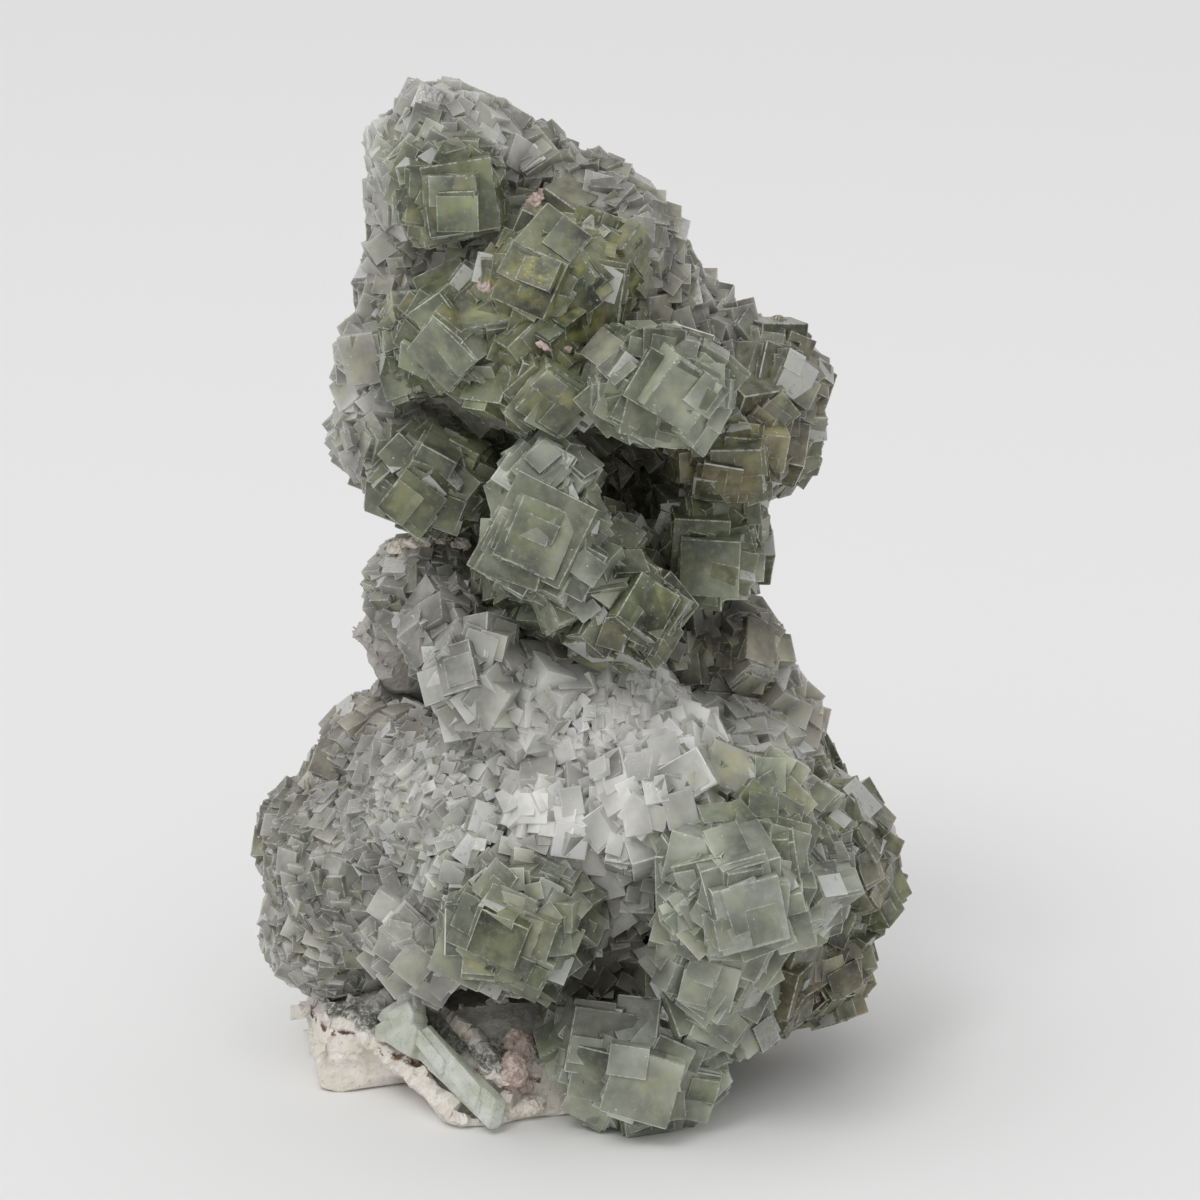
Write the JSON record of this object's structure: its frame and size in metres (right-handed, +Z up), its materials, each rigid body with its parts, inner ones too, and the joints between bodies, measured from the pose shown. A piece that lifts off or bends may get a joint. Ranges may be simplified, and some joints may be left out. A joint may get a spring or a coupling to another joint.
{
  "type": "fluorite specimen",
  "caption": "Standing cluster of green-grey fluorite cubes grown in rounded knobs over a flat-based piece of pale matrix rock.",
  "frame": {"origin": "a point inside the flat underside of the matrix rock, below the specimen's middle", "axes": "+Z up from the resting face; the crystal front faces -Y; +X is to the right of someone looking at the front"},
  "size_m": [0.1277, 0.1076, 0.1939],
  "materials": {
    "green_fluorite": "glassy cube faces, milky grey-green body with yellow-green hearts, clear to cloudy",
    "pale_matrix": "dry broken stone, cream with dark green-grey grains and a brown band",
    "pale_spar": "cleaved, pale greenish white, satin"
  },
  "bodies": {
    "root": {"fluorite_cluster": "green_fluorite", "matrix_rock": "pale_matrix", "pale_spar_blade": "pale_spar"}
  },
  "joints": []
}
